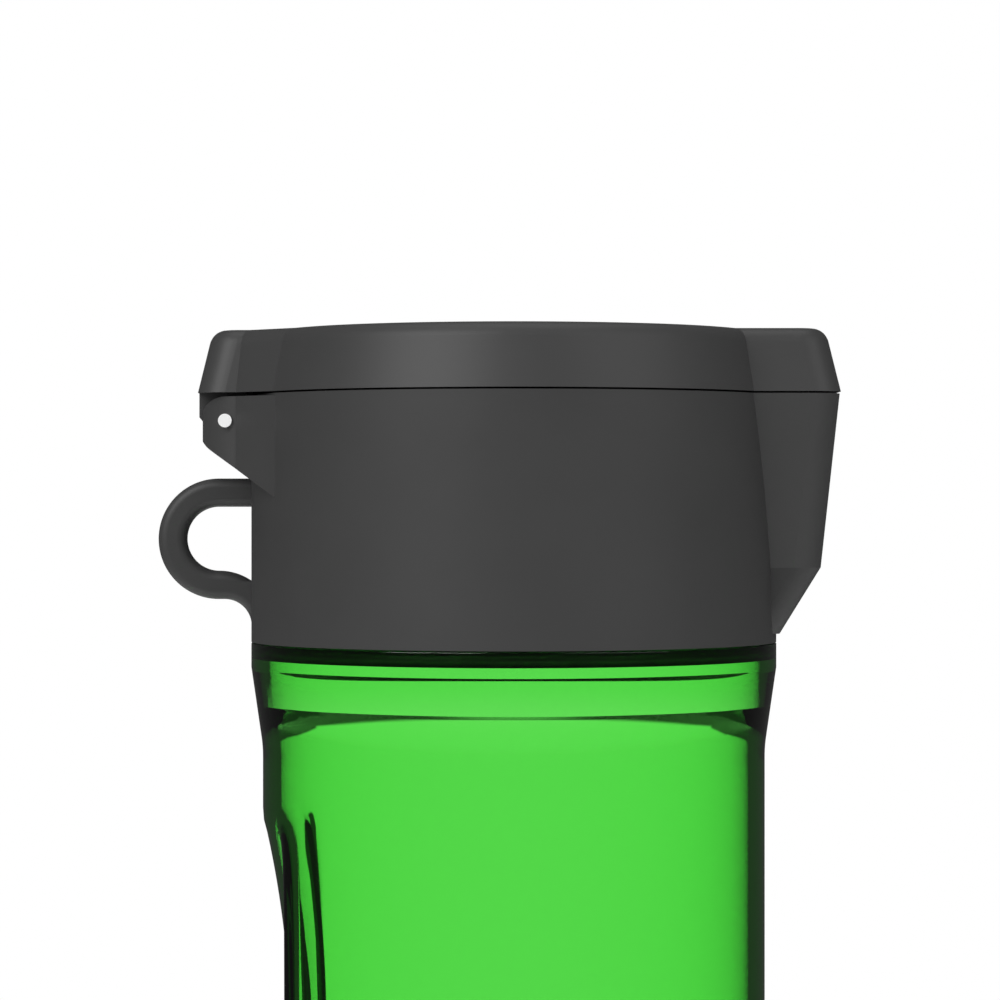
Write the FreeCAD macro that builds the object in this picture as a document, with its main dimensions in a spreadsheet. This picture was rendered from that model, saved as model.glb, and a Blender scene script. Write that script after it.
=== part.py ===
import FreeCAD, Part
import os
import Sketcher

# A flip-top disinfectant jar: a clear green jar with a threaded neck ring glued into its
# mouth, and a screw cap with a pouring beak, a carrying loop and a hinged lid.
# Millimetres, +Z up. The origin is the centre of the flat pad that the jar stands on.
# +X points to the pouring beak, -X to the hinge and the loop.

os.makedirs("parts", exist_ok=True)
doc = FreeCAD.newDocument("FlipTopJar")
sheet = doc.addObject("Spreadsheet::Sheet", "Sizes")


class Measure:
    # A length that knows its value and the sheet expression it is bound by.
    def __init__(self, value, text):
        self.value = float(value)
        self.text = text

    def combine(self, other, sign, swap=False):
        other = other if isinstance(other, Measure) else Measure(other, repr(float(other)))
        a, b = (other, self) if swap else (self, other)
        values = {"+": a.value + b.value, "-": a.value - b.value, "*": a.value * b.value,
                  "/": a.value / b.value if b.value else 0.0}
        return Measure(values[sign], "(" + a.text + " " + sign + " " + b.text + ")")

    def __add__(self, other):
        return self.combine(other, "+")

    def __sub__(self, other):
        return self.combine(other, "-")

    def __mul__(self, other):
        return self.combine(other, "*")

    def __truediv__(self, other):
        return self.combine(other, "/")

    def __radd__(self, other):
        return self.combine(other, "+", True)

    def __rsub__(self, other):
        return self.combine(other, "-", True)

    def __rmul__(self, other):
        return self.combine(other, "*", True)

    def __rtruediv__(self, other):
        return self.combine(other, "/", True)

    def __neg__(self):
        return 0 - self


ZERO = Measure(0, "0")
row_count = [1]


def root_of(measure):
    return Measure(measure.value ** 0.5, "sqrt(" + measure.text + ")")


def size(alias, value, meaning):
    # One row of the sheet: what it is, its number and the alias that expressions use.
    row = str(row_count[0])
    row_count[0] += 1
    sheet.set("A" + row, meaning)
    sheet.set("B" + row, repr(value))
    sheet.setAlias("B" + row, alias)
    return Measure(value, "Sizes." + alias)


# ---- driving dimensions ----
# Whole jar
collarBase = size("collarBase", 150.0, "height of the cap's lower edge above the table")
collarRadius = size("collarRadius", 50.0, "outer radius of the cap's collar and the jar's rim")
bodyInset = size("bodyInset", 2.2, "how far the jar's body lies inside the rim's radius")
jarRimRadius = collarRadius
jarBodyRadius = collarRadius - bodyInset
jarWall = size("jarWall", 3.1, "wall of the jar")
shoulderTop = size("shoulderTop", 4.8, "from the cap down to the top of the outer shoulder")
shoulderFoot = size("shoulderFoot", 19.9, "from the cap down to the foot of the outer shoulder")
innerShoulderTop = size("innerShoulderTop", 11.6, "from the cap down to the inner shoulder")
innerShoulderFoot = size("innerShoulderFoot", 17.4, "from the cap down to its foot")
rimGap = size("rimGap", 0.15, "gap between the jar's rim and the cap")
rimRound = size("rimRound", 0.3, "rounding of the jar's rim")
floorThick = size("floorThick", 4.5, "thickness of the jar's floor")
heelRound = size("heelRound", 5.0, "rounding of the outer bottom edge")
floorRound = size("floorRound", 6.0, "rounding between floor and wall, inside")

# Hand grip scooped into the jar under the hinge
gripDrop = size("gripDrop", 30.4, "from the cap down to the top of the grip")
gripLength = size("gripLength", 92.0, "height of the grip")
gripDepth = size("gripDepth", 5.0, "depth of the grip at its middle")
gripHalfWidth = size("gripHalfWidth", 22.0, "half the width of the grip")
gripProud = size("gripProud", 0.2, "how far outside the wall the grip's profile starts")
gripBlend = size("gripBlend", 20.0, "rounding where the grip leaves the wall")
gripCorner = size("gripCorner", 7.0, "corner rounding of the grip's outline")

# Foot pad
footInset = size("footInset", 10.0, "how far the foot pad's edge lies inside the rim's radius")
footSink = size("footSink", 2.0, "depth of the foot pad's recess in the jar")
footProud = size("footProud", 1.2, "how far the foot pad stands below the jar")
footRound = size("footRound", 0.8, "rounding of the foot pad's lower edge")
footRadius = collarRadius - footInset

# Neck ring and its thread
skirtDepth = size("skirtDepth", 3.1, "depth of the neck ring's skirt in the jar's mouth")
neckInset = size("neckInset", 5.7, "how far the outer thread's root lies inside the collar")
neckRoot = collarRadius - neckInset
neckWall = size("neckWall", 2.8, "wall of the neck ring")
neckHeight = size("neckHeight", 24.0, "height of the neck above the cap's lower edge")
threadDepth = size("threadDepth", 1.3, "height of a thread ridge")
threadGap = size("threadGap", 0.4, "radial gap between neck and cap threads")
threadLead = size("threadLead", 12.0, "rise of the thread in one turn")
threadStarts = size("threadStarts", 3.0, "number of starts")
threadFoot = size("threadFoot", 6.5, "first ridge of the neck above the cap's lower edge")
threadRun = size("threadRun", 11.0, "height that a neck ridge climbs")
ridgeBase = size("ridgeBase", 2.0, "width of a ridge at its root")
ridgeCrest = size("ridgeCrest", 1.1, "width of a ridge at its crest")
gasketThick = size("gasketThick", 1.5, "thickness of the neck gasket")

# Cap: collar, beak, deck
collarHeight = size("collarHeight", 46.7, "height of the collar")
collarWall = size("collarWall", 2.4, "wall of the collar")
beakOut = size("beakOut", 10.6, "how far the beak's front stands out from the collar at its top")
beakOutLow = size("beakOutLow", 7.9, "the same, just above its bevel")
beakKnee = size("beakKnee", 14.2, "height of the bevel's upper end, where the flanks stop narrowing")
beakToe = size("beakToe", 1.7, "height of the bevel's lower end")
beakToeOut = size("beakToeOut", 0.2, "how far the bevel's lower end stands out from the collar")
beakHalfTop = size("beakHalfTop", 23.5, "half width of the beak at the collar's top")
beakHalfKnee = size("beakHalfKnee", 13.8, "half width of the beak at the bevel's upper end")
beakHalfToe = size("beakHalfToe", 13.2, "half width of the beak at the bevel's lower end")
beakCorner = size("beakCorner", 5.5, "rounding of the beak's upright corners")
deckThick = size("deckThick", 2.2, "thickness of the deck")
mouthInset = size("mouthInset", 16.0, "how far the mouth's wall lies inside the collar")
mouthRimWall = size("mouthRimWall", 2.2, "wall of the mouth's raised rim")
mouthRimRise = size("mouthRimRise", 4.0, "rise of the mouth's rim above the deck")
fitGap = size("fitGap", 0.2, "gap between the deck's tongue and the beak's inside")
beakReach = collarRadius + beakOut
beakReachLow = collarRadius + beakOutLow
beakToeReach = collarRadius + beakToeOut
mouthRadius = collarRadius - mouthInset

# Hinge
pinOut = size("pinOut", 4.05, "how far the hinge pin lies outside the collar")
pinHeight = size("pinHeight", 41.75, "height of the hinge pin above the cap's lower edge")
pinRadius = size("pinRadius", 1.27, "radius of the hinge pin")
pinPlay = size("pinPlay", 0.05, "radial play of the pin in the lid")
earRound = size("earRound", 5.5, "rounding of the ears' nose")
earOut = size("earOut", 3.95, "how far the centre of that rounding lies outside the collar")
earCentre = size("earCentre", 40.8, "height of the centre of the ears' rounding")
earFoot = size("earFoot", 27.4, "height where the ears' underside runs out")
earCorner = size("earCorner", 10.0, "rounding of the ears' outer corners, which clear the open lid")
earSine = size("earSine", 0.574, "sine of the slope of the ears' underside")
bossHalf = size("bossHalf", 15.5, "half width of the hinge's nose")
bossInset = size("bossInset", 5.8, "how far inside the collar's reach the slanted sides begin")
bossOut = size("bossOut", 2.0, "how far outside the collar the slanted sides end")
noseOut = size("noseOut", 9.5, "how far the lid's back stands out from the collar")
noseRound = size("noseRound", 5.5, "rounding of the nose's upright corners")
knuckleHalf = size("knuckleHalf", 9.2, "half width of the lid's knuckle")
knuckleRadius = size("knuckleRadius", 3.6, "radius of the lid's knuckle round the pin")
sideGap = size("sideGap", 0.35, "gap between the knuckle and each ear")
pinReach = collarRadius + pinOut
earReach = collarRadius + earOut
bossLeave = collarRadius - bossInset
bossRoot = root_of(collarRadius * collarRadius - bossLeave * bossLeave)
bossWaist = collarRadius + bossOut
noseReach = collarRadius + noseOut

# Loop
loopOut = size("loopOut", 17.75, "how far the loop stands out from the collar")
loopCentre = size("loopCentre", 19.5, "height of the middle of the loop's bow")
loopBow = size("loopBow", 11.5, "outer radius of the loop's bow")
loopBar = size("loopBar", 5.4, "width of the loop's bar")
loopThick = size("loopThick", 5.0, "thickness of the loop's bar")
loopRound = size("loopRound", 1.75, "rounding of the bar's edges")
loopFootTop = size("loopFootTop", 11.4, "height of the lower foot's upper edge at the collar")
loopFootLow = size("loopFootLow", 2.9, "height of the lower foot's lower edge at the collar")
loopTenon = size("loopTenon", 1.4, "how deep the loop's feet sit in the collar")
loopReach = collarRadius + loopOut

# Lid
lidGap = size("lidGap", 0.35, "parting gap between collar and lid")
lidProud = size("lidProud", 0.2, "how far the lid stands proud of the collar")
lidHeight = size("lidHeight", 11.85, "height of the lid")
lidSlope = size("lidSlope", 0.228, "inward slope of the lid's sides")
lidRound = size("lidRound", 3.3, "rounding of the lid's top edge")
lidWall = size("lidWall", 2.2, "wall of the lid")
lidTop = size("lidTop", 2.4, "thickness of the lid's top")
linerRise = size("linerRise", 0.9, "from the lid's lower edge up to the liner's plate")
linerThick = size("linerThick", 2.0, "thickness of the liner's plate")
linerSkirtWall = size("linerSkirtWall", 1.8, "wall of the liner's skirt")
linerSlack = size("linerSlack", 0.3, "gap between the liner's plate and the lid's side")
stayInset = size("stayInset", 20.0, "how far the liner's upper ring lies inside the collar")
sealThick = size("sealThick", 2.2, "height of the mouth seal")
sealWidth = size("sealWidth", 3.4, "width of the mouth seal")
catchThick = size("catchThick", 1.5, "thickness of the catch tongue")
catchHalf = size("catchHalf", 7.0, "half width of the catch tongue")
catchDrop = size("catchDrop", 5.2, "how far the catch tongue hangs below the lid")
catchGap = size("catchGap", 0.35, "gap between the catch tongue and the beak's front wall")
stayRadius = collarRadius - stayInset
earCosine = root_of(1 - earSine * earSine)
doc.recompute()


def vector(x, y, z=0.0):
    return FreeCAD.Vector(x, y, z)


def above(height):
    # A height above the cap's lower edge, as a height above the table.
    return collarBase + height


def bind(target, name, measure):
    target.setExpression(name, measure.text)


# ---- sketch and feature helpers ----
def new_body(label):
    body = doc.addObject("PartDesign::Body", label.title().replace("_", ""))
    body.Label = label
    return body


def new_sketch(body, name, role):
    sketch = body.newObject("Sketcher::SketchObject", name)
    plane = [item for item in body.Origin.OriginFeatures if item.Role == role][0]
    sketch.AttachmentSupport = [(plane, "")]
    sketch.MapMode = "FlatFace"
    return sketch


def pin_point(sketch, tag, geometry, end, point):
    # Ties one end of a sketch edge to its place, measured from the sketch's origin.
    for kind, measure in (("DistanceX", point[0]), ("DistanceY", point[1])):
        name = tag + kind[-1]
        constraint = Sketcher.Constraint(kind, -1, 1, geometry, end, measure.value)
        index = sketch.addConstraint(constraint)
        sketch.renameConstraint(index, name)
        bind(sketch, "Constraints." + name, measure)


def as_vector(point):
    return vector(point[0].value, point[1].value)


def draw_outline(sketch, points, arcs=None, tag="p"):
    # A closed outline through the points. arcs gives, for the edge that starts at a point's
    # number, the radius and the side of its centre: +1 is left of the way drawn.
    arcs = arcs or {}
    first = sketch.GeometryCount
    count = len(points)
    for i in range(count):
        start, end = as_vector(points[i]), as_vector(points[(i + 1) % count])
        if i in arcs:
            radius, side = arcs[i]
            sketch.addGeometry(arc_between(start, end, radius.value, side))
        else:
            sketch.addGeometry(Part.LineSegment(start, end))
    for i in range(count):
        start_end = 2 if i in arcs and arcs[i][1] < 0 else 1
        pin_point(sketch, tag + str(i), first + i, start_end, points[i])
        j = (i + 1) % count
        this_end = 1 if i in arcs and arcs[i][1] < 0 else 2
        next_start = 2 if j in arcs and arcs[j][1] < 0 else 1
        sketch.addConstraint(Sketcher.Constraint("Coincident", first + i, this_end, first + j, next_start))
    for i, (radius, side) in arcs.items():
        index = sketch.addConstraint(Sketcher.Constraint("Radius", first + i, radius.value))
        sketch.renameConstraint(index, tag + "arc" + str(i))
        bind(sketch, "Constraints." + tag + "arc" + str(i), radius)


def arc_between(start, end, radius, side):
    # The shorter arc from start to end. Sketch arcs run anticlockwise, so a clockwise
    # one is stored from its end to its start.
    chord = end - start
    half = chord.Length / 2
    rise = max(radius * radius - half * half, 0.0) ** 0.5
    normal = vector(-chord.y, chord.x) * (1.0 / chord.Length)
    centre = (start + end) * 0.5 + normal * (rise * side)
    middle = centre + ((start + end) * 0.5 - centre).normalize() * radius if rise > 1e-6 else centre
    if rise <= 1e-6:
        middle = centre - normal * (radius * side)
    return Part.Arc(start, middle, end) if side > 0 else Part.Arc(end, middle, start)


def revolve(body, name, points, arcs=None):
    sketch = new_sketch(body, name + "Profile", "XZ_Plane")
    draw_outline(sketch, points, arcs)
    feature = body.newObject("PartDesign::Revolution", name)
    feature.Profile = sketch
    feature.ReferenceAxis = (sketch, ["V_Axis"])
    feature.Angle = 360.0
    doc.recompute()
    return feature


def pad(body, name, role, outlines, length, both=True, reverse=False):
    # outlines is a list of (points, arcs).
    sketch = new_sketch(body, name + "Outline", role)
    for number, (points, arcs) in enumerate(outlines):
        draw_outline(sketch, points, arcs, "o" + str(number) + "p")
    feature = body.newObject("PartDesign::Pad", name)
    feature.Profile = sketch
    feature.Midplane = both
    feature.Reversed = reverse
    bind(feature, "Length", length)
    doc.recompute()
    return feature


def loft_up(body, name, low, low_outline, high, high_outline):
    # A solid that runs straight from one level outline to another. Each outline is a list
    # of points and the arcs between them. It starts at the top so that its top edges can
    # be rounded.
    sketches = []
    for tag, height, outline in (("High", high, high_outline), ("Low", low, low_outline)):
        sketch = new_sketch(body, name + tag, "XY_Plane")
        sketch.AttachmentOffset = FreeCAD.Placement(vector(0, 0, height.value), FreeCAD.Rotation())
        bind(sketch, "AttachmentOffset.Base.z", height)
        draw_outline(sketch, outline[0], outline[1])
        sketches.append(sketch)
    loft = body.newObject("PartDesign::AdditiveLoft", name)
    loft.Profile = sketches[0]
    loft.Sections = [sketches[1]]
    loft.Ruled = True
    doc.recompute()
    return loft


def round_edges(body, name, radius, picks):
    # Rounds the edges of the body's last feature that the test picks.
    base = body.Tip
    chosen = ["Edge" + str(i + 1) for i, edge in enumerate(base.Shape.Edges) if picks(edge)]
    if not chosen:
        raise RuntimeError(name + " finds no edge")
    feature = body.newObject("PartDesign::Fillet", name)
    feature.Base = (base, chosen)
    bind(feature, "Radius", radius)
    doc.recompute()
    return feature


def helix_ridges(body, name, points, lead, height, starts):
    sketch = new_sketch(body, name + "Section", "XZ_Plane")
    draw_outline(sketch, points)
    ridge = body.newObject("PartDesign::AdditiveHelix", name)
    ridge.Profile = sketch
    ridge.ReferenceAxis = (sketch, ["V_Axis"])
    ridge.Mode = "pitch-height-angle"
    ridge.LeftHanded = False
    bind(ridge, "Pitch", lead)
    bind(ridge, "Height", height)
    doc.recompute()
    pattern = body.newObject("PartDesign::PolarPattern", name + "Starts")
    pattern.Originals = [ridge]
    pattern.Axis = (sketch, ["V_Axis"])
    pattern.Angle = 360.0
    bind(pattern, "Occurrences", starts)
    body.Tip = pattern
    doc.recompute()
    return pattern


def combine(kind, name, shapes):
    # kind is Cut (first minus second), MultiFuse or Common.
    feature = doc.addObject("Part::" + kind, name)
    if kind == "MultiFuse":
        feature.Shapes = shapes
    else:
        feature.Base, feature.Tool = shapes
    feature.Refine = True
    doc.recompute()
    return feature


def round_solid(name, base, radius, picks):
    # The same as round_edges, for a result of booleans.
    feature = doc.addObject("Part::Fillet", name)
    feature.Base = base
    edges = [(i + 1, radius.value, radius.value)
             for i, edge in enumerate(base.Shape.Edges) if picks(edge)]
    if not edges:
        raise RuntimeError(name + " finds no edge")
    feature.Edges = edges
    doc.recompute()
    return feature


def rectangle(low_x, low_y, high_x, high_y):
    return [(low_x, low_y), (high_x, low_y), (high_x, high_y), (low_x, high_y)]


def is_level(edge, height):
    box = edge.BoundBox
    return abs(box.ZMin - height.value) < 1e-3 and abs(box.ZMax - height.value) < 1e-3


def is_round_at(edge, radius, height):
    return is_level(edge, height) and abs(edge.BoundBox.XMax - radius.value) < 1e-3


def runs_along(edge, axis):
    box = edge.BoundBox
    lengths = {"X": box.XLength, "Y": box.YLength, "Z": box.ZLength}
    return all(lengths[other] < 1e-3 for other in lengths if other != axis)


# ---- jar ----
def grip_solid(name, spread):
    # The scoop for the hand: the space inside its rounded outline and outside a waisted
    # body of revolution. spread grows it for the wall that follows it inside the jar.
    top = collarBase - gripDrop
    foot = top - gripLength
    start = jarBodyRadius - spread + gripProud
    block = new_body(name + "_block")
    low, high = foot - spread, top + spread
    side = gripHalfWidth + spread
    pad(block, name + "Block", "YZ_Plane", [(rectangle(-side, low, side, high), None)],
        jarBodyRadius * 1.5, False, True)
    round_edges(block, name + "Corners", gripCorner + spread, lambda edge: runs_along(edge, "X"))
    half = gripLength / 2
    depth = gripDepth + gripProud
    sum_radius = (half * half + depth * depth) / (2 * depth)
    blend = gripBlend - spread
    floor_radius = sum_radius - gripBlend + spread
    drop = blend * depth / sum_radius
    run = blend * half / sum_radius
    waist = new_body(name + "_waist")
    points = [(ZERO, low - 5), (start, low - 5), (start, foot), (start - drop, foot + run),
              (start - drop, top - run), (start, top), (start, high + 5), (ZERO, high + 5)]
    revolve(waist, name + "Waist", points, {2: (blend, 1), 3: (floor_radius, -1), 4: (blend, 1)})
    return combine("Cut", name + "Scoop", [block, waist])


def make_jar():
    rim = collarBase - rimGap
    shell = new_body("jar_outside")
    outline = [(ZERO, footProud), (jarBodyRadius, footProud),
               (jarBodyRadius, collarBase - shoulderFoot),
               (jarRimRadius, collarBase - shoulderTop), (jarRimRadius, rim), (ZERO, rim)]
    revolve(shell, "JarOutside", outline)
    round_edges(shell, "JarHeel", heelRound, lambda e: is_round_at(e, jarBodyRadius, footProud))
    round_edges(shell, "JarRimOut", rimRound, lambda e: is_round_at(e, jarRimRadius, rim))
    cavity = new_body("jar_inside")
    floor = footProud + floorThick
    mouth = jarRimRadius - jarWall
    bore = jarBodyRadius - jarWall
    outline = [(ZERO, floor), (bore, floor), (bore, collarBase - innerShoulderFoot),
               (mouth, collarBase - innerShoulderTop), (mouth, collarBase), (ZERO, collarBase)]
    revolve(cavity, "JarInside", outline)
    round_edges(cavity, "JarFloorRound", floorRound, lambda e: is_round_at(e, bore, floor))
    recess = cylinder("FootRecess", footRadius, ZERO, footProud + footSink)
    dented = combine("Cut", "JarDented", [shell, grip_solid("grip_outside", ZERO)])
    hollow = combine("Cut", "JarHollow", [cavity, grip_solid("grip_inside", jarWall)])
    emptied = combine("Cut", "JarEmptied", [dented, hollow])
    jar = combine("Cut", "JarBody", [emptied, recess])
    jar.Label = "jar_body"
    return jar


def make_foot_pad():
    disc = new_body("foot_pad")
    revolve(disc, "FootPad", rectangle(ZERO, ZERO, footRadius, footProud + footSink))
    round_edges(disc, "FootPadEdge", footRound, lambda e: is_round_at(e, footRadius, ZERO))
    return disc


def make_neck_ring():
    ring = new_body("neck_ring")
    bore = neckRoot - neckWall
    skirt = jarRimRadius - jarWall
    outline = [(bore, above(-skirtDepth)), (skirt, above(-skirtDepth)), (skirt, above(-rimGap)),
               (neckRoot, above(-rimGap)), (neckRoot, above(neckHeight)), (bore, above(neckHeight))]
    revolve(ring, "NeckTube", outline)
    crest = neckRoot + threadDepth
    middle = above(threadFoot)
    sunk = neckRoot - threadDepth / 2
    section = [(sunk, middle - ridgeBase / 2), (neckRoot, middle - ridgeBase / 2),
               (crest, middle - ridgeCrest / 2), (crest, middle + ridgeCrest / 2),
               (neckRoot, middle + ridgeBase / 2), (sunk, middle + ridgeBase / 2)]
    helix_ridges(ring, "NeckThread", section, threadLead, threadRun, threadStarts)
    return ring


def make_gasket():
    ring = new_body("neck_gasket")
    top = neckHeight + gasketThick
    revolve(ring, "NeckGasket", rectangle(neckRoot - neckWall, above(neckHeight), neckRoot, above(top)))
    return ring


# ---- cap ----
def tongue_plan(half, reach, corner, sign=1):
    # A plan with parallel sides and a flat end with rounded corners, towards +X or -X.
    back = collarRadius / 2 * sign
    turn, end = (reach - corner) * sign, reach * sign
    points = [(back, -half), (turn, -half), (end, corner - half),
              (end, half - corner), (turn, half), (back, half)]
    return points, {1: (corner, sign), 3: (corner, sign)}


def beak_solid(name, inset):
    # The beak, or its inside when inset is the wall: a front that leans out, flanks that
    # narrow downwards, and a bevel under them that runs back to the collar.
    body = new_body(name)
    corner = beakCorner - inset
    toe = tongue_plan(beakHalfToe - inset, beakToeReach - inset, corner)
    knee = tongue_plan(beakHalfKnee - inset, beakReachLow - inset, corner)
    brim = tongue_plan(beakHalfTop - inset, beakReach - inset, corner)
    toe_height = above(beakToe + inset)
    knee_height = above(beakKnee + inset / 2)
    loft_up(body, name + "Bevel", toe_height, toe, knee_height, knee)
    loft_up(body, name + "Front", knee_height, knee, above(collarHeight), brim)
    return body


def slant_plan(inset):
    # The hinge's slanted sides in plan, from inside the collar to its parallel part, moved
    # inwards square to themselves by inset.
    slope = (bossRoot - bossHalf) / (bossWaist - bossLeave)
    shift = inset * root_of(slope * slope + 1)
    begin = collarRadius / 2
    wide = bossRoot - shift + slope * (bossLeave - begin)
    half = bossHalf - shift
    return [(-begin, -wide), (-begin, wide), (-bossWaist, half), (-bossWaist, -half)], None


def make_ears():
    # Two ears with a rounded nose and a slanted underside, one each side of the knuckle.
    profile = new_body("ear_profile")
    inner = -collarRadius / 2
    nose_x, nose_z = -earReach, above(earCentre)
    low_x = nose_x - earRound * earSine
    low_z = nose_z - earRound * earCosine
    run_out = low_x + (low_z - above(earFoot)) * earCosine / earSine
    side = [(inner, above(earFoot)), (inner, above(earCentre + earRound)),
            (nose_x, above(earCentre + earRound)), (nose_x - earRound, nose_z),
            (low_x, low_z), (run_out, above(earFoot))]
    arcs = {2: (earRound, 1), 3: (earRound, 1)}
    pad(profile, "EarSide", "XZ_Plane", [(side, arcs)], bossRoot * 4)
    low, high = above(earFoot - 1), above(collarHeight)
    nose = new_body("ear_nose")
    outline = tongue_plan(bossHalf, noseReach, earCorner, -1)
    loft_up(nose, "EarNose", low, outline, high, outline)
    slant = new_body("ear_slant")
    outline = slant_plan(ZERO)
    loft_up(slant, "EarSlant", low, outline, high, outline)
    plan = combine("MultiFuse", "EarPlan", [nose, slant])
    notch = new_body("ear_notch")
    gap = knuckleHalf + sideGap
    cut = rectangle(-noseReach * 2, above(earFoot - 2), inner, above(collarHeight * 2))
    pad(notch, "EarNotch", "XZ_Plane", [(cut, None)], gap * 2)
    block = combine("Common", "EarBlock", [profile, plan])
    return combine("Cut", "HingeEars", [block, notch])


def cylinder(name, radius, low, height):
    solid = doc.addObject("Part::Cylinder", name)
    bind(solid, "Radius", radius)
    bind(solid, "Height", height)
    bind(solid, "Placement.Base.z", low)
    return solid


def cross_bore(name, radius, half_length):
    # A round bar along the hinge axis.
    bar = doc.addObject("Part::Cylinder", name)
    bind(bar, "Radius", radius)
    bind(bar, "Height", half_length * 2)
    bar.Placement = FreeCAD.Placement(vector(0, 0), FreeCAD.Rotation(vector(1, 0, 0), 90))
    bind(bar, "Placement.Base.x", -pinReach)
    bind(bar, "Placement.Base.y", half_length)
    bind(bar, "Placement.Base.z", above(pinHeight))
    return bar


def make_loop():
    loop = new_body("carry_loop")
    bow_x = -(loopReach - loopBow)
    middle = above(loopCentre)
    wall = -(collarRadius - loopTenon)
    inner = loopBow - loopBar
    leg_end = -collarRadius
    leg_run = -leg_end + bow_x
    step = middle - inner - above(loopFootTop)
    sweep = (leg_run * leg_run + step * step) / (2 * step)
    fall = middle - loopBow - above(loopFootLow)
    turn_x = leg_end - fall
    points = [(wall, middle + loopBow), (bow_x, middle + loopBow), (bow_x - loopBow, middle),
              (bow_x, middle - loopBow), (turn_x, middle - loopBow), (leg_end, above(loopFootLow)),
              (wall, above(loopFootLow)), (wall, above(loopFootTop)), (leg_end, above(loopFootTop)),
              (bow_x, middle - inner), (bow_x - inner, middle), (bow_x, middle + inner),
              (wall, middle + inner)]
    arcs = {1: (loopBow, 1), 2: (loopBow, 1), 4: (fall, -1), 8: (sweep, 1), 9: (inner, -1), 10: (inner, -1)}
    pad(loop, "LoopBar", "XZ_Plane", [(points, arcs)], loopThick)
    edge_side = loopThick / 2

    def is_rim(edge):
        box = edge.BoundBox
        flat = box.YLength < 1e-3 and abs(abs(box.Center.y) - edge_side.value) < 1e-3
        return flat and box.Center.x < leg_end.value + 0.01
    round_edges(loop, "LoopSoftEdges", loopRound, is_rim)
    return loop


def make_collar(loop):
    beak = beak_solid("BeakOutside", ZERO)
    beak_inside = beak_solid("BeakInside", collarWall)
    barrel = cylinder("CollarBarrel", collarRadius, collarBase, collarHeight)
    bore = cylinder("CollarBore", collarRadius - collarWall, collarBase - 1, collarHeight + 2)
    solid = combine("MultiFuse", "CollarSolid", [barrel, beak, make_ears()])
    ear_bore = cross_bore("EarBore", pinRadius, noseReach)
    space = combine("MultiFuse", "CollarSpace", [bore, beak_inside, ear_bore])
    hollow = combine("Cut", "CollarHollow", [solid, space])
    collar = combine("Cut", "CollarShell", [hollow, loop])
    collar.Label = "collar_shell"
    return collar


def make_deck():
    deck = new_body("deck_turned")
    outer = collarRadius - collarWall
    root = neckRoot + threadDepth + threadGap
    low = above(0.4)
    under = above(neckHeight + gasketThick)
    top = under + deckThick
    rim = top + mouthRimRise
    outline = [(root, low), (outer, low), (outer, top), (mouthRadius + mouthRimWall, top),
               (mouthRadius + mouthRimWall, rim), (mouthRadius, rim), (mouthRadius, under),
               (root, under)]
    revolve(deck, "DeckAndSleeve", outline)
    crest = root - threadDepth
    pitch = threadLead / threadStarts
    middle = above(threadFoot) - pitch / 2
    sunk = root + threadGap
    section = [(sunk, middle - ridgeBase / 2), (sunk, middle + ridgeBase / 2),
               (root, middle + ridgeBase / 2), (crest, middle + ridgeCrest / 2),
               (crest, middle - ridgeCrest / 2), (root, middle - ridgeBase / 2)]
    helix_ridges(deck, "SleeveThread", section, threadLead, threadRun, threadStarts)
    return deck


def make_deck_tongue(deck):
    # The deck runs on into the beak as a tongue, so that the beak's foot stays dry.
    tongue = new_body("deck_tongue")
    under = neckHeight + gasketThick
    top = under + deckThick
    lean = (beakReach - beakReachLow) / (collarHeight - beakKnee)
    taper = (beakHalfTop - beakHalfKnee) / (collarHeight - beakKnee)
    rise = under - beakKnee - collarWall
    front = beakReachLow + lean * rise - collarWall - fitGap
    half = beakHalfKnee + taper * rise - collarWall - fitGap
    back = mouthRadius + mouthRimWall * 2
    side = rectangle(back, above(under), front, above(top))
    pad(tongue, "TongueSide", "XZ_Plane", [(side, None)], half * 2)
    round_edges(tongue, "TongueCorners", beakCorner - collarWall,
                lambda e: runs_along(e, "Z") and e.BoundBox.XMin > front.value - 1)
    whole = combine("MultiFuse", "MouthDeckSolid", [deck, tongue])
    whole.Label = "mouth_deck"
    return whole


def make_pin():
    pin = cross_bore("HingePin", pinRadius, bossHalf)
    doc.recompute()
    pin.Label = "hinge_pin"
    return pin


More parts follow.
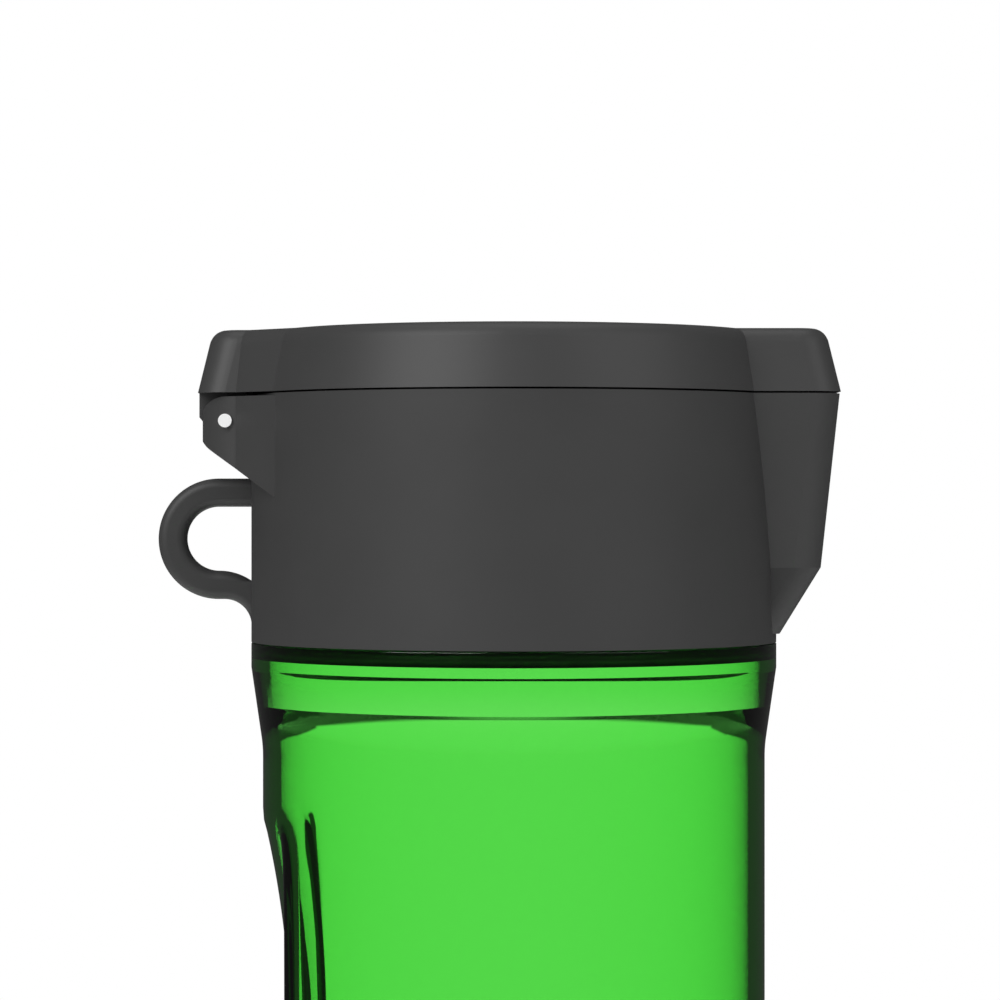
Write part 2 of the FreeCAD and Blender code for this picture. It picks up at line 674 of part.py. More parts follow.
# ---- lid ----
def lid_solid(name, inset, top, edge_round=None):
    # The lid's outer form, or its inside when inset is the wall: a low cone, the beak's
    # cover and the hinge's nose, all with sides that lean in. Each is rounded by itself
    # along its top edge, so the rounded edges meet in mitres.
    low = collarHeight + lidGap
    lean = lidSlope * (top - low)
    cone = doc.addObject("Part::Cone", name + "Cone")
    radius = collarRadius + lidProud - inset
    bind(cone, "Radius1", radius)
    bind(cone, "Radius2", radius - lean)
    bind(cone, "Height", top - low)
    bind(cone, "Placement.Base.z", above(low))
    doc.recompute()
    reach = beakReach + lidProud - inset
    half = beakHalfTop + lidProud - inset
    corner = beakCorner - inset
    beak = new_body(name + "_beak")
    loft_up(beak, name + "Beak", above(low), tongue_plan(half, reach, corner), above(top),
            tongue_plan(half - lean, reach - lean, corner))
    reach = noseReach - inset
    half = bossHalf - inset
    corner = noseRound - inset
    nose = new_body(name + "_nose")
    loft_up(nose, name + "Nose", above(low), tongue_plan(half, reach, corner, -1), above(top),
            tongue_plan(half - lean, reach - lean, corner, -1))
    slant = new_body(name + "_slant")
    loft_up(slant, name + "Slant", above(low), slant_plan(inset), above(top),
            slant_plan(inset + lean))
    if edge_round:
        start = collarRadius / 2
        for body in (beak, nose, slant):
            round_edges(body, body.Label + "_edge", edge_round,
                        lambda e: is_level(e, above(top)) and is_outer_edge(e, start, body is slant))
        cone = round_solid(name + "ConeRound", cone, edge_round, lambda e: is_level(e, above(top)))
    return combine("MultiFuse", name + "Solid", [cone, beak, nose, slant])


def is_outer_edge(edge, start, sides_only):
    # Leaves out the end inside the lid, and for the slanted part both ends.
    box = edge.BoundBox
    crosswise = box.XLength < 1e-3
    if sides_only:
        return not crosswise
    return not (crosswise and abs(abs(box.Center.x) - start.value) < 1e-3)


def make_knuckle(top):
    # The web that joins the lid to the pin: its lower left is cut back so that it clears
    # the collar when the lid is thrown open.
    web = new_body("lid_knuckle")
    low = collarHeight + lidGap
    left = -(noseReach - lidProud)
    right = -(pinReach - knuckleRadius)
    web_top = top - lidTop / 2
    lean = lidSlope * (web_top - low)
    pin_z = above(pinHeight)
    short = knuckleRadius * 0.7
    side = [(left, above(low)), (left, pin_z + knuckleRadius / 5), (-pinReach - short, pin_z - short),
            (-pinReach + short, pin_z - short), (right, pin_z), (right, above(web_top)),
            (left + lean + lidWall / 2, above(web_top)), (left + lidWall / 2, above(low))]
    pad(web, "KnuckleWeb", "XZ_Plane", [(side, None)], knuckleHalf * 2)
    return web


def make_lid_shell():
    top = collarHeight + lidGap + lidHeight
    outside = lid_solid("LidOut", ZERO, top, lidRound)
    inside = lid_solid("LidIn", lidWall, top - lidTop)
    hollow = combine("Cut", "LidHollow", [outside, inside])
    barrel = cross_bore("KnuckleBarrel", knuckleRadius, knuckleHalf)
    joined = combine("MultiFuse", "LidJoined", [hollow, make_knuckle(top), barrel])
    bore = cross_bore("KnuckleBore", pinRadius + pinPlay, knuckleHalf + 1)
    lid = combine("Cut", "LidShell", [joined, bore])
    lid.Label = "lid_shell"
    return lid


def seal_levels():
    # Heights of the mouth rim's top and of the seal's top, above the cap's lower edge.
    rim_top = neckHeight + gasketThick + deckThick + mouthRimRise
    return rim_top, rim_top + sealThick


def make_liner():
    liner = new_body("lid_liner")
    low = collarHeight + lidGap
    plate_low = low + linerRise
    plate_top = plate_low + linerThick
    ceiling = low + lidHeight - lidTop
    seal_top = seal_levels()[1]
    plate = collarRadius + lidProud - lidWall - lidSlope * (plate_top - low) - linerSlack
    skirt_out = mouthRadius + mouthRimWall / 2 + linerSkirtWall / 2
    skirt_in = skirt_out - linerSkirtWall
    stay_in = stayRadius - linerSkirtWall
    outline = [(ZERO, above(plate_low)), (skirt_in, above(plate_low)), (skirt_in, above(seal_top)),
               (skirt_out, above(seal_top)), (skirt_out, above(plate_low)), (plate, above(plate_low)),
               (plate, above(plate_top)), (stayRadius, above(plate_top)), (stayRadius, above(ceiling)),
               (stay_in, above(ceiling)), (stay_in, above(plate_top)), (ZERO, above(plate_top))]
    revolve(liner, "LinerTurned", outline)
    return liner


def make_seal():
    seal = new_body("mouth_seal")
    rim_top, seal_top = seal_levels()
    middle = mouthRadius + mouthRimWall / 2
    half = sealWidth / 2
    revolve(seal, "MouthSeal", rectangle(middle - half, above(rim_top), middle + half, above(seal_top)))
    return seal


def make_catch():
    # A springy tongue under the lid that presses behind the beak's front wall.
    tongue = new_body("lid_catch")
    low = collarHeight + lidGap
    tip = low - catchDrop
    ceiling = low + lidHeight - lidTop
    lean = (beakReach - beakReachLow) / (collarHeight - beakKnee)
    front = beakReachLow + lean * (tip - beakKnee) - collarWall - catchGap
    shift = lidSlope * (ceiling - low)
    foot = front - shift
    side = [(front - catchThick, above(tip)), (front, above(tip)), (front, above(low)),
            (foot, above(ceiling)), (foot - catchThick * 2, above(ceiling)),
            (front - catchThick, above(low))]
    pad(tongue, "CatchTongue", "XZ_Plane", [(side, None)], catchHalf * 2)
    return tongue


def build_all():
    loop = make_loop()
    return [make_jar(), make_foot_pad(), make_neck_ring(), make_gasket(),
            make_collar(loop), make_deck_tongue(make_deck()), loop, make_pin(),
            make_lid_shell(), make_liner(), make_seal(), make_catch()]


def export(parts):
    for item in doc.Objects:
        if "Invalid" in item.State or "Error" in item.State:
            raise RuntimeError(item.Label + " failed: " + str(item.State))
    for item in parts:
        if item.Shape.isNull() or not item.Shape.isValid():
            raise RuntimeError(item.Label + " has no valid shape")
    for item in parts:
        item.Shape.exportStep("parts/" + item.Label + ".step")
        print(item.Label, round(item.Shape.Volume), len(item.Shape.Solids), len(item.Shape.Faces))


export(build_all())
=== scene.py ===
import bpy
import bmesh
import math
import numpy as np
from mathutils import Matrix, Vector


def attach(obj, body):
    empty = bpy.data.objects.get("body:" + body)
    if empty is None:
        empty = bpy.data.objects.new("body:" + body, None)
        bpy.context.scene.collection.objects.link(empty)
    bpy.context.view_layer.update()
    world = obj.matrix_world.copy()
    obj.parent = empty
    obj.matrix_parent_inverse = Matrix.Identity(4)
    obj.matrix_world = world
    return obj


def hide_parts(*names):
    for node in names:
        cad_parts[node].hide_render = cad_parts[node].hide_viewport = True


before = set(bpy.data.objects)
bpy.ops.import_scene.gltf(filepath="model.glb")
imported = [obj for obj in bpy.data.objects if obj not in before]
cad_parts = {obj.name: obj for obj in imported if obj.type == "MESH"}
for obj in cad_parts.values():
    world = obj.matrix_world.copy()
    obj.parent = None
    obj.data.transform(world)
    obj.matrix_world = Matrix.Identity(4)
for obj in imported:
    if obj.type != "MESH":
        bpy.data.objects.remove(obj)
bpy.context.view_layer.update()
mm = 0.001
print("frame loaded:", len(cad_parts), "nodes")


class Value:
    # a socket that takes part in Python sums
    def __init__(self, finish, socket):
        self.finish = finish
        self.socket = socket

    def maths(self, operation, *others):
        return self.finish.node("ShaderNodeMath", {"operation": operation}, [self, *others])

    def __add__(self, other):
        return self.maths("ADD", other)

    def __radd__(self, other):
        return self.finish.node("ShaderNodeMath", {"operation": "ADD"}, [other, self])

    def __sub__(self, other):
        return self.maths("SUBTRACT", other)

    def __rsub__(self, other):
        return self.finish.node("ShaderNodeMath", {"operation": "SUBTRACT"}, [other, self])

    def __mul__(self, other):
        return self.maths("MULTIPLY", other)

    def __rmul__(self, other):
        return self.finish.node("ShaderNodeMath", {"operation": "MULTIPLY"}, [other, self])

    def __truediv__(self, other):
        return self.maths("DIVIDE", other)

    def __pow__(self, other):
        return self.maths("POWER", other)

    def clipped(self):
        return self.finish.node("ShaderNodeClamp", None, [self])


class Finish:
    # one material and its node tree
    def __init__(self, name):
        self.material = bpy.data.materials.new(name)
        self.material.use_nodes = True
        self.tree = self.material.node_tree
        self.tree.nodes.clear()
        self.output = self.tree.nodes.new("ShaderNodeOutputMaterial")
        self.position = self.node("ShaderNodeTexCoord", None, None, "Object")

    def node(self, kind, settings=None, sockets=None, result=0):
        made = self.tree.nodes.new(kind)
        for key, value in (settings or {}).items():
            if key == "stops":
                self.ramp(made, value)
            else:
                setattr(made, key, value)
        if isinstance(sockets, dict):
            for key, value in sockets.items():
                self.feed(made.inputs[key], value)
        else:
            for socket, value in zip(made.inputs, sockets or []):
                self.feed(socket, value)
        return Value(self, made.outputs[result])

    def ramp(self, made, stops):
        # stops: (place, grey or colour)
        elements = made.color_ramp.elements
        while len(elements) < len(stops):
            elements.new(0.5)
        for element, (place, shade) in zip(elements, stops):
            element.position = place
            element.color = (shade, shade, shade, 1) if isinstance(shade, float) else (*shade, 1)

    def feed(self, socket, value):
        if isinstance(value, Value):
            self.tree.links.new(value.socket, socket)
        elif value is not None:
            socket.default_value = value

    def noise(self, scale, detail=2.0, roughness=0.5, distortion=0.0, where=None):
        return self.node("ShaderNodeTexNoise", {"noise_dimensions": "3D"}, {
            "Vector": where or self.position, "Scale": scale, "Detail": detail,
            "Roughness": roughness, "Distortion": distortion}, "Fac")

    def blend(self, factor, first, second):
        made = self.tree.nodes.new("ShaderNodeMix")
        made.data_type = "RGBA"
        self.feed(made.inputs["Factor"], factor)
        for name, shade in (("A", first), ("B", second)):
            socket = [s for s in made.inputs if s.name == name and s.type == "RGBA"][0]
            self.feed(socket, shade if isinstance(shade, Value) else (*shade, 1))
        return Value(self, [s for s in made.outputs if s.type == "RGBA"][0])

    def bump(self, height, distance, strength=1.0):
        return self.node("ShaderNodeBump", None, {
            "Height": height, "Distance": distance, "Strength": strength}, "Normal")

    def surface(self, sockets, volume=None):
        shader = self.node("ShaderNodeBsdfPrincipled", None, sockets, "BSDF")
        self.feed(self.output.inputs["Surface"], shader)
        if volume:
            self.feed(self.output.inputs["Volume"], volume)
        return self.material


capPlastic = {"dark": (0.034, 0.034, 0.034), "light": (0.042, 0.042, 0.042), "rough": 0.46,
              "grain": 0.00022, "grainDepth": 0.000006, "cloud": 0.018}


def makeCapPlastic():
    # charcoal moulded plastic with a fine spark-eroded texture
    sizes = capPlastic
    f = Finish("charcoalPlastic")
    cloud = f.noise(1 / sizes["cloud"], 3.0)
    grain = f.noise(1 / sizes["grain"], 2.0, 0.6)
    shade = f.blend((cloud * 0.7 + grain * 0.3).clipped(), sizes["dark"], sizes["light"])
    rough = sizes["rough"] + (cloud - 0.5) * 0.06 + (grain - 0.5) * 0.08
    return f.surface({"Base Color": shade, "Roughness": rough, "IOR": 1.49,
                      "Normal": f.bump(grain, sizes["grainDepth"])})


jarPlastic = {"tint": (0.56, 0.945, 0.52), "absorb": (0.14, 0.90, 0.03), "density": 215.0,
              "ripple": 0.016, "rippleDepth": 0.000004, "rough": 0.012}


def makeJarPlastic():
    # clear green plastic, tinted through its depth, with faint moulding flow
    sizes = jarPlastic
    f = Finish("clearGreenPlastic")
    ripple = f.noise(1 / sizes["ripple"], 1.0, 0.4)
    rough = sizes["rough"] + ripple * 0.012
    volume = f.node("ShaderNodeVolumeAbsorption", None, {
        "Color": (*sizes["absorb"], 1), "Density": sizes["density"]}, "Volume")
    return f.surface({"Base Color": (*sizes["tint"], 1), "Roughness": rough, "IOR": 1.49,
                      "Transmission Weight": 1.0,
                      "Normal": f.bump(ripple, sizes["rippleDepth"])}, volume)


blackPlastic = {"dark": (0.003, 0.003, 0.003), "light": (0.006, 0.006, 0.006), "rough": 0.38,
                "grain": 0.0004, "grainDepth": 0.000004}


def makeBlackPlastic():
    sizes = blackPlastic
    f = Finish("blackPlastic")
    grain = f.noise(1 / sizes["grain"], 2.0)
    shade = f.blend(grain, sizes["dark"], sizes["light"])
    return f.surface({"Base Color": shade, "Roughness": sizes["rough"] + (grain - 0.5) * 0.1,
                      "IOR": 1.49, "Normal": f.bump(grain, sizes["grainDepth"])})


softRubber = {"dark": (0.012, 0.012, 0.012), "light": (0.022, 0.022, 0.022), "ring": 0.0022,
              "ringDepth": 0.0002, "grain": 3000.0, "rough": 0.72, "roughMore": 0.16}


def makeSoftRubber():
    # foot pad: matt rubber with fine rings moulded round its centre
    sizes = softRubber
    f = Finish("footRubber")
    parts = f.node("ShaderNodeSeparateXYZ", None, [f.position], "X")
    across = Value(f, parts.socket.node.outputs["Y"])
    radius = (parts * parts + across * across) ** 0.5
    ring = (radius * (2 * math.pi / sizes["ring"])).maths("SINE") * 0.5 + 0.5
    grain = f.noise(sizes["grain"])
    shade = f.blend(ring, sizes["dark"], sizes["light"])
    return f.surface({"Base Color": shade, "Roughness": sizes["rough"] + grain * sizes["roughMore"],
                      "Normal": f.bump(ring + grain * 0.1, sizes["ringDepth"])})


silicone = {"dark": (0.30, 0.31, 0.31), "light": (0.36, 0.37, 0.37), "cloud": 220.0,
            "dust": 2600.0, "dustDepth": 0.000008}


def makeSilicone():
    sizes = silicone
    f = Finish("sealSilicone")
    cloud = f.noise(sizes["cloud"], 3.0)
    dust = f.noise(sizes["dust"], 2.0)
    shade = f.blend(cloud, sizes["dark"], sizes["light"])
    return f.surface({"Base Color": shade, "Roughness": 0.5 + dust * 0.2, "IOR": 1.41,
                      "Subsurface Weight": 0.12, "Subsurface Scale": 0.0015,
                      "Normal": f.bump(dust, sizes["dustDepth"])})


# pale greys for the pin: painted reflection of the white surroundings, brighter than the steel's own
# colour
pinSteelPaintedReflection = {"dark": (0.84, 0.84, 0.84), "light": (0.92, 0.92, 0.92)}


def makePinSteelPaintedReflection():
    # satin steel pin with real turning marks round it; its near-white colour is painted reflection
    # of the white surroundings
    sizes = pinSteelPaintedReflection
    f = Finish("pinSteelPaintedReflection")
    stretched = f.node("ShaderNodeMapping", {"vector_type": "POINT"}, {
        "Vector": f.position, "Scale": (300.0, 6000.0, 300.0)})
    marks = f.noise(1.0, 3.0, 0.6, 0.0, stretched)
    shade = f.blend(marks, sizes["dark"], sizes["light"])
    return f.surface({"Base Color": shade, "Metallic": 0.15, "Roughness": 0.4 + marks * 0.14,
                      "Normal": f.bump(marks, 0.000004)})


finishes = {"cap": makeCapPlastic(), "jar": makeJarPlastic(), "neck": makeBlackPlastic(),
            "foot": makeSoftRubber(), "seal": makeSilicone(), "pin": makePinSteelPaintedReflection()}
nodeFinish = {"foot_pad": "foot", "neck_ring": "neck", "neck_gasket": "seal",
              "collar_shell": "cap", "mouth_deck": "cap", "carry_loop": "cap",
              "hinge_pin": "pin", "lid_shell": "cap", "lid_liner": "cap", "mouth_seal": "seal",
              "lid_catch": "cap"}
for nodeName, finishName in nodeFinish.items():
    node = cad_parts[nodeName]
    for slot in node.material_slots:
        slot.material = finishes[finishName]
print("finishes made:", len(finishes))


def meshPiece(name, points, faces, finish, body):
    # points in metres; faces smooth, pointing outwards
    mesh = bpy.data.meshes.new(name)
    mesh.from_pydata([tuple(p) for p in points], [], faces)
    mesh.validate()
    mesh.shade_smooth()
    piece = bpy.data.objects.new(name, mesh)
    bpy.context.scene.collection.objects.link(piece)
    mesh.materials.append(finishes[finish])
    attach(piece, body)
    return piece


# an arc's step in degrees, its fewest steps, and the short flat in mm that leads into and out of it
pathRule = {"turnStep": 3, "fewest": 6, "flat": 0.08}


def roundedPath(corners, step):
    # corners: (radius, height, rounding) in mm. The path is cut to steps no longer than step.
    flat = pathRule["flat"]
    path = [np.array(corners[0][:2], float)]
    for before, here, after in zip(corners, corners[1:], corners[2:]):
        a, b, c = (np.array(p[:2], float) for p in (before, here, after))
        toA = (a - b) / np.linalg.norm(a - b)
        toC = (c - b) / np.linalg.norm(c - b)
        if here[2] <= 0:
            path.append(b)
            continue
        half = math.acos(max(-1.0, min(1.0, float(toA @ toC)))) / 2
        centre = b + (toA + toC) / np.linalg.norm(toA + toC) * here[2] / math.sin(half)
        start, end = (b + way * here[2] / math.tan(half) for way in (toA, toC))
        turn = math.pi - 2 * half
        count = max(pathRule["fewest"], int(math.degrees(turn) / pathRule["turnStep"]) + 1)
        u, v = start - centre, end - centre
        if np.linalg.norm(start - path[-1]) > 2 * flat:
            path.append(start + toA * flat)
        for k in range(count + 1):
            t = k / count
            swung = math.sin((1 - t) * turn) * u + math.sin(t * turn) * v
            path.append(centre + swung / math.sin(turn))
        if np.linalg.norm(c - end) > 2 * flat:
            path.append(end + toC * flat)
    path.append(np.array(corners[-1][:2], float))
    cut = [path[0]]
    for a, b in zip(path, path[1:]):
        pieces = max(1, math.ceil(np.linalg.norm(b - a) / step))
        for k in range(1, pieces + 1):
            cut.append(a + (b - a) * k / pieces)
    return np.array(cut)


jar = {"rimRadius": 50.0, "bodyRadius": 47.8, "wall": 3.1, "rim": 149.85, "rimRound": 0.3,
       "shoulderTop": 145.2, "shoulderFoot": 130.1, "shoulderTopRound": 1.5,
       "shoulderFootRound": 26.0, "innerTop": 138.4, "innerFoot": 132.6,
       "innerTopRound": 0.2, "innerFootRound": 30.0,
       "heel": 1.2, "heelRound": 5.0, "floor": 5.7, "floorRound": 6.0, "pad": 40.05,
       "padTop": 3.25, "gripTop": 119.6, "gripLength": 92.0, "gripDepth": 5.2,
       "gripHalf": 22.0, "gripCorner": 7.0, "gripBlend": 20.0, "gripLip": 6.0, "gripSoft": 3.0,
       "mouthRound": 0.15, "padRound": 0.3, "hair": -0.03, "stepUp": 2.4, "stepRound": 2.0,
       "gripEdge": 28.0, "fineHalf": 6.0, "fineStep": 0.5}


def gripDepthAt(height, blend, deep):
    # how deep the waisted profile lies at each height
    half = jar["gripLength"] / 2
    total = (half * half + deep * deep) / (2 * deep)
    middle = jar["gripTop"] - half
    off = np.abs(height - middle)
    join = half * (1 - blend / total)
    flank = blend - np.sqrt(np.maximum(blend ** 2 - (half - off) ** 2, 0))
    floor = deep - (total - blend) + np.sqrt(np.maximum((total - blend) ** 2 - off ** 2, 0))
    depth = np.where(off < join, floor, flank)
    return np.where(off < half, depth, 0.0)


def gripShare(across, height, grow, lip):
    # 0 outside the grip's outline, 1 past its lip
    half = jar["gripHalf"] + grow
    tall = jar["gripLength"] / 2 + grow
    corner = jar["gripCorner"] + grow
    middle = jar["gripTop"] - jar["gripLength"] / 2
    qx = np.abs(across) - half + corner
    qz = np.abs(height - middle) - tall + corner
    inside = np.minimum(np.maximum(qx, qz), 0) + np.hypot(np.maximum(qx, 0), np.maximum(qz, 0))
    t = np.clip(-(inside - corner) / lip, 0, 1)
    return t * t * (3 - 2 * t)


def makeJar():
    bore = jar["bodyRadius"] - jar["wall"]
    mouth = jar["rimRadius"] - jar["wall"] + jar["hair"]
    outer = roundedPath([(0, jar["padTop"], 0), (jar["pad"], jar["padTop"], 0),
                         (jar["pad"], jar["heel"], jar["padRound"]),
                         (jar["bodyRadius"], jar["heel"], jar["heelRound"]),
                         (jar["bodyRadius"], jar["shoulderFoot"], jar["shoulderFootRound"]),
                         (jar["rimRadius"], jar["shoulderTop"], jar["shoulderTopRound"]),
                         (jar["rimRadius"], jar["rim"], jar["rimRound"]),
                         (mouth, jar["rim"], jar["mouthRound"])], jar["stepUp"])[:-1]
    inner = roundedPath([(jar["rimRadius"], jar["rim"], 0), (mouth, jar["rim"], jar["mouthRound"]),
                         (mouth, jar["innerTop"], jar["innerTopRound"]),
                         (bore, jar["innerFoot"], jar["innerFootRound"]),
                         (bore, jar["floor"], jar["floorRound"]), (0, jar["floor"], 0)],
                        jar["stepUp"])
    inner = inner[[i for i in range(len(inner)) if inner[i][0] <= mouth + jar["mouthRound"] + 0.01]]
    angles = set(np.round(np.arange(0, 360, jar["stepRound"]), 3))
    for middle in (180 - jar["gripEdge"], 180 + jar["gripEdge"]):
        fine = np.arange(middle - jar["fineHalf"], middle + jar["fineHalf"], jar["fineStep"])
        angles |= set(np.round(fine, 3))
    angles = np.radians(sorted(angles))
    path = np.vstack([outer, inner])
    isInner = np.arange(len(path)) >= len(outer)
    radius = np.repeat(path[:, :1], len(angles), 1)
    height = np.repeat(path[:, 1:], len(angles), 1)
    grow = np.where(isInner, jar["wall"], 0.0)[:, None]
    across = np.where(np.cos(angles) < 0, jar["bodyRadius"] * np.sin(angles), 99.0)[None, :]
    blend = jar["gripBlend"] - grow
    spread = np.where(isInner, jar["gripSoft"], 0.0)[:, None]
    share = gripShare(across, height, spread, jar["gripLip"] + spread)
    depth = gripDepthAt(height, blend, jar["gripDepth"]) * share
    wallHere = radius > bore - jar["floorRound"]
    radius = radius - np.where(wallHere, depth, 0.0)
    points, faces = [], []
    rows = len(path)
    count = len(angles)
    index = -np.ones((rows, count), int)
    for r in range(rows):
        if path[r][0] < 1e-9:
            index[r, :] = len(points)
            points.append((0, 0, path[r][1] * mm))
            continue
        for a in range(count):
            index[r, a] = len(points)
            points.append((radius[r, a] * math.cos(angles[a]) * mm,
                           radius[r, a] * math.sin(angles[a]) * mm, height[r, a] * mm))
    for r in range(rows - 1):
        for a in range(count):
            b = (a + 1) % count
            corners = [index[r, a], index[r, b], index[r + 1, b], index[r + 1, a]]
            face = [c for k, c in enumerate(corners) if c not in corners[:k]]
            if len(face) > 2:
                faces.append([int(c) for c in face])
    piece = meshPiece("jarShell", points, faces, "jar", "jar")
    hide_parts("jar_body")
    return piece


makeJar()
print("jar made")

neck = {"Radius": 44.3, "Bore": 41.5, "Skirt": 46.9, "Base": 149.85, "Top": 174.0,
        "Skirt Foot": 146.9, "Ridge Depth": 1.3, "Ridge Root": 2.0, "Ridge Crest": 1.1,
        "Lead": 12.0, "Run": 11.0, "Starts": 3, "First": 156.5}


class Growth:
    # a geometry tree with named inputs
    def __init__(self, name, sizes):
        self.tree = bpy.data.node_groups.new(name, "GeometryNodeTree")
        self.tree.interface.new_socket("Geometry", in_out="OUTPUT", socket_type="NodeSocketGeometry")
        self.keys = {}
        for key, value in sizes.items():
            kind = "NodeSocketInt" if isinstance(value, int) else "NodeSocketFloat"
            made = self.tree.interface.new_socket(key, in_out="INPUT", socket_type=kind)
            self.keys[key] = made.identifier
        self.entry = self.tree.nodes.new("NodeGroupInput")
        self.sizes = {key: self.entry.outputs[key] for key in sizes}

    def node(self, kind, settings=None, sockets=None):
        made = self.tree.nodes.new(kind)
        for key, value in (settings or {}).items():
            setattr(made, key, value)
        for key, value in (sockets or {}).items():
            for each in value if isinstance(value, list) else [value]:
                if isinstance(each, bpy.types.NodeSocket):
                    self.tree.links.new(each, made.inputs[key])
                else:
                    made.inputs[key].default_value = each
        return made.outputs[0]

    def sum(self, operation, first, second):
        return self.node("ShaderNodeMath", {"operation": operation}, {0: first, 1: second})

    def loop(self, corners):
        # a closed outline of four (across, up) corners; the outline's own Y hangs down
        names = ["Point 1", "Point 2", "Point 3", "Point 4"]
        places = [self.node("ShaderNodeCombineXYZ", None, {
            "X": x, "Y": self.sum("MULTIPLY", y, -1.0)}) for x, y in corners]
        return self.node("GeometryNodeCurvePrimitiveQuadrilateral", {"mode": "POINTS"},
                         dict(zip(names, places)))

    def sweep(self, path, outline):
        upright = self.node("GeometryNodeSetCurveNormal", {"mode": "Z_UP"}, {"Curve": path})
        return self.node("GeometryNodeCurveToMesh", None, {
            "Curve": upright, "Profile Curve": outline, "Fill Caps": True})


def makeNeck():
    # tube, skirt and thread ridges of the neck, grown from one set of sizes
    g = Growth("neckRing", neck)
    size = g.sizes
    circle = g.node("GeometryNodeCurvePrimitiveCircle", None, {
        "Resolution": 180, "Radius": size["Radius"]})
    wall = g.sum("SUBTRACT", size["Bore"], size["Radius"])
    ledge = g.sum("SUBTRACT", size["Skirt"], size["Radius"])
    rings = []
    for inside, outside, low, high in ((wall, 0.0, size["Base"], size["Top"]),
                                       (wall, ledge, size["Skirt Foot"], size["Base"])):
        rings.append(g.sweep(circle, g.loop([(inside, low), (inside, high),
                                             (outside, high), (outside, low)])))
    half = g.sum("DIVIDE", size["Ridge Root"], 2.0)
    tip = g.sum("DIVIDE", size["Ridge Crest"], 2.0)
    sunk = g.sum("MULTIPLY", size["Ridge Depth"], -0.5)
    minusHalf = g.sum("MULTIPLY", half, -1.0)
    minusTip = g.sum("MULTIPLY", tip, -1.0)
    spiral = g.node("GeometryNodeCurveSpiral", None, {
        "Resolution": 120, "Rotations": g.sum("DIVIDE", size["Run"], size["Lead"]),
        "Start Radius": size["Radius"], "End Radius": size["Radius"],
        "Height": size["Run"], "Reverse": True})
    ridge = g.sweep(spiral, g.loop([(sunk, minusHalf), (sunk, half),
                                    (size["Ridge Depth"], tip), (size["Ridge Depth"], minusTip)]))
    lifted = g.node("GeometryNodeTransform", None, {
        "Geometry": ridge,
        "Translation": g.node("ShaderNodeCombineXYZ", None, {"Z": size["First"]})})
    starts = g.node("GeometryNodePoints", None, {"Count": size["Starts"]})
    turn = g.sum("MULTIPLY", g.node("GeometryNodeInputIndex"),
                 g.sum("DIVIDE", 2 * math.pi, size["Starts"]))
    ridges = g.node("GeometryNodeInstanceOnPoints", None, {
        "Points": starts, "Instance": lifted,
        "Rotation": g.node("ShaderNodeCombineXYZ", None, {"Z": turn})})
    joined = g.node("GeometryNodeJoinGeometry", None, {"Geometry": [*rings, ridges]})
    scaled = g.node("GeometryNodeTransform", None, {
        "Geometry": g.node("GeometryNodeRealizeInstances", None, {"Geometry": joined}),
        "Scale": (mm, mm, mm)})
    dressed = g.node("GeometryNodeSetMaterial", None, {
        "Geometry": scaled, "Material": finishes["neck"]})
    out = g.tree.nodes.new("NodeGroupOutput")
    g.tree.links.new(dressed, out.inputs[0])
    piece = bpy.data.objects.new("neckRing", bpy.data.meshes.new("neckRing"))
    bpy.context.scene.collection.objects.link(piece)
    modifier = piece.modifiers.new("grow", "NODES")
    modifier.node_group = g.tree
    for key, value in neck.items():
        modifier[g.keys[key]] = value
    depsgraph = bpy.context.evaluated_depsgraph_get()
    mesh = bpy.data.meshes.new_from_object(piece.evaluated_get(depsgraph))
    piece.modifiers.clear()
    bm = bmesh.new()
    bm.from_mesh(mesh)
    bmesh.ops.remove_doubles(bm, verts=bm.verts, dist=1e-7)
    bmesh.ops.recalc_face_normals(bm, faces=bm.faces)
    bm.to_mesh(mesh)
    bm.free()
    piece.data = mesh
    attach(piece, "jar")
    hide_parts("neck_ring")
    print("neck grown:", len(mesh.polygons), "faces")


makeNeck()


room = {"floorRadius": 0.45, "floorFade": (0.24, 0.42), "floorShade": (0.86, 0.86, 0.86),
        "segments": 128}


def makeFloor():
    bm = bmesh.new()
    bmesh.ops.create_circle(bm, cap_ends=True, segments=room["segments"], radius=room["floorRadius"])
    mesh = bpy.data.meshes.new("paleFloor")
    bm.to_mesh(mesh)
    bm.free()
    floor = bpy.data.objects.new("paleFloor", mesh)
    bpy.context.scene.collection.objects.link(floor)
    f = Finish("paleFloor")
    distance = f.node("ShaderNodeVectorMath", {"operation": "LENGTH"}, [f.position], "Value")
    low, high = room["floorFade"]
    fade = f.node("ShaderNodeMapRange", {"interpolation_type": "SMOOTHSTEP"}, {
        "Value": distance, "From Min": low, "From Max": high}, "Result")
    shader = f.node("ShaderNodeBsdfPrincipled", None, {
        "Base Color": (*room["floorShade"], 1), "Roughness": 0.9}, "BSDF")
    clear = f.node("ShaderNodeBsdfTransparent", None, None, "BSDF")
    mixed = f.node("ShaderNodeMixShader", None, [fade, shader, clear], "Shader")
    f.feed(f.output.inputs["Surface"], mixed)
    mesh.materials.append(f.material)


def makeLight(name, place, aim, size, power):
    data = bpy.data.lights.new(name, "AREA")
    data.shape = "RECTANGLE"
    data.size, data.size_y = size
    data.energy = power
    lamp = bpy.data.objects.new(name, data)
    bpy.context.scene.collection.objects.link(lamp)
    lamp.location = place
    lamp.rotation_mode = "QUATERNION"
    lamp.rotation_quaternion = (Vector(aim) - Vector(place)).to_track_quat("-Z", "Y")
    lamp.visible_camera = False
    return lamp


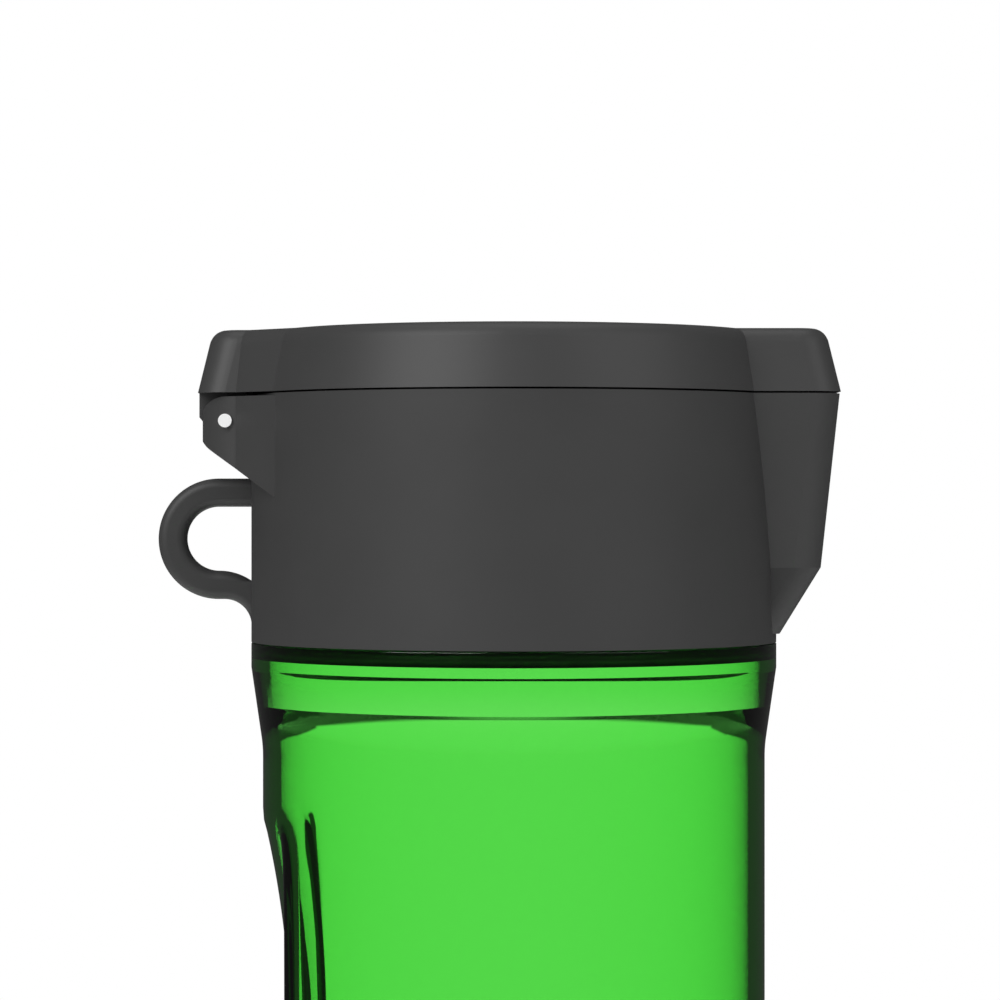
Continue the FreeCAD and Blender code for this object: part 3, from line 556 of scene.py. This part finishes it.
def makeSky():
    # white behind the object, and a dimmer room for what the gloss and the walls mirror
    world = bpy.data.worlds.new("studio")
    bpy.context.scene.world = world
    world.use_nodes = True
    tree = world.node_tree
    tree.nodes.clear()
    out = tree.nodes.new("ShaderNodeOutputWorld")
    path = tree.nodes.new("ShaderNodeLightPath")
    way = tree.nodes.new("ShaderNodeTexCoord")
    split = tree.nodes.new("ShaderNodeSeparateXYZ")
    tree.links.new(way.outputs["Generated"], split.inputs[0])
    low = tree.nodes.new("ShaderNodeMapRange")
    low.interpolation_type = "SMOOTHSTEP"
    tree.links.new(split.outputs["Z"], low.inputs["Value"])
    low.inputs["From Min"].default_value, low.inputs["From Max"].default_value = studio["horizon"]
    low.inputs["To Min"].default_value, low.inputs["To Max"].default_value = 1.0, 0.0
    through = tree.nodes.new("ShaderNodeMath")
    through.operation = "MULTIPLY"
    tree.links.new(low.outputs[0], through.inputs[0])
    tree.links.new(path.outputs["Is Transmission Ray"], through.inputs[1])
    bright, dim, soft = (tree.nodes.new("ShaderNodeBackground") for _ in range(3))
    for made, strength in ((bright, 1.0), (dim, studio["roomLight"]), (soft, studio["softLight"])):
        made.inputs["Color"].default_value = (1, 1, 1, 1)
        made.inputs["Strength"].default_value = strength
    mirrored = tree.nodes.new("ShaderNodeMath")
    mirrored.operation = "MAXIMUM"
    tree.links.new(path.outputs["Glossy Depth"], mirrored.inputs[0])
    tree.links.new(through.outputs[0], mirrored.inputs[1])
    limited = tree.nodes.new("ShaderNodeClamp")
    tree.links.new(mirrored.outputs[0], limited.inputs[0])
    mix = tree.nodes.new("ShaderNodeMixShader")
    tree.links.new(limited.outputs[0], mix.inputs[0])
    tree.links.new(bright.outputs[0], mix.inputs[1])
    tree.links.new(dim.outputs[0], mix.inputs[2])
    scattered = tree.nodes.new("ShaderNodeClamp")
    tree.links.new(path.outputs["Diffuse Depth"], scattered.inputs[0])
    last = tree.nodes.new("ShaderNodeMixShader")
    tree.links.new(scattered.outputs[0], last.inputs[0])
    tree.links.new(mix.outputs[0], last.inputs[1])
    tree.links.new(soft.outputs[0], last.inputs[2])
    tree.links.new(last.outputs[0], out.inputs["Surface"])


studio = {"roomLight": 0.05, "softLight": 0.8, "horizon": (-0.182, -0.168),
          "eye": (-0.00263, -0.714, 0.1769), "lens": 134.6,
          "key": ((-0.9, -1.1, 1.1), (0, 0, 0.15), (1.2, 1.2), 14.0),
          "fill": ((1.1, -0.9, 0.9), (0, 0, 0.15), (1.2, 1.2), 4.0),
          "top": ((0, 0.1, 1.4), (0, 0, 0.1), (1.0, 1.0), 2.5)}


def makeCamera():
    data = bpy.data.cameras.new("studioCamera")
    data.lens = studio["lens"]
    data.sensor_width = 36.0
    data.clip_start, data.clip_end = 0.01, 50.0
    camera = bpy.data.objects.new("studioCamera", data)
    bpy.context.scene.collection.objects.link(camera)
    camera.location = studio["eye"]
    camera.rotation_euler = (math.pi / 2, 0, 0)
    bpy.context.scene.camera = camera


makeFloor()
makeSky()
for lightName in ("key", "fill", "top"):
    makeLight(lightName, *studio[lightName])
makeCamera()
bpy.context.scene.view_settings.view_transform = "Standard"
print("studio made")
